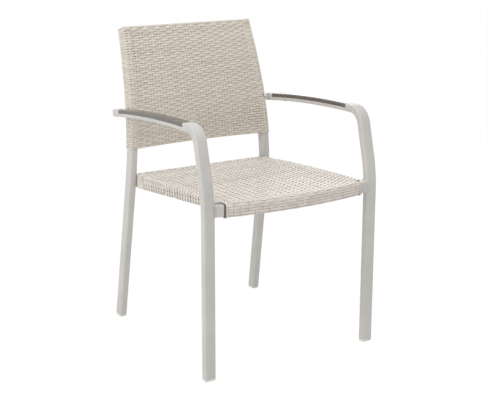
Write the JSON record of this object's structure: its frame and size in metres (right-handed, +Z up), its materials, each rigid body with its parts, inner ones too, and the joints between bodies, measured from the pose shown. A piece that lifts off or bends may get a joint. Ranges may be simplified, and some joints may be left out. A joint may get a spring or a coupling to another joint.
{
  "type": "stacking armchair",
  "caption": "Stacking outdoor armchair: bent tubular frame with arms, woven wicker seat and back, slim arm inlays and foot glides.",
  "frame": {"origin": "on the floor under the centre of the chair's bounding box", "axes": "+Z up, the front of the chair faces -Y, +X to the sitter's left hand"},
  "size_m": [0.5268, 0.5928, 0.8331],
  "materials": {
    "frame": "warm light grey textured powder coat, satin",
    "weave": "woven flat polyethylene strand, pale cream grey, matte",
    "arm_inlay": "moulded polymer, mid grey-brown, satin",
    "glides": "moulded nylon, pale grey",
    "screws": "stainless steel, plain"
  },
  "bodies": {
    "root": {"right_front_leg_and_arm": "frame", "right_rear_leg_and_post": "frame", "right_arm_link": "frame", "right_arm_end_cap": "frame", "right_post_cap": "frame", "right_seat_side_rail": "frame", "right_arm_inlay": "arm_inlay", "right_inlay_screw_front": "screws", "right_inlay_screw_rear": "screws", "right_front_glide": "glides", "right_rear_glide": "glides", "left_front_leg_and_arm": "frame", "left_rear_leg_and_post": "frame", "left_arm_link": "frame", "left_arm_end_cap": "frame", "left_post_cap": "frame", "left_seat_side_rail": "frame", "left_arm_inlay": "arm_inlay", "left_inlay_screw_front": "screws", "left_inlay_screw_rear": "screws", "left_front_glide": "glides", "left_rear_glide": "glides", "front_seat_rail": "frame", "rear_seat_rail": "frame", "seat_cross_brace": "frame", "back_top_rail": "frame", "back_bottom_rail": "frame", "seat_weave": "weave", "back_weave": "weave"}
  },
  "joints": []
}
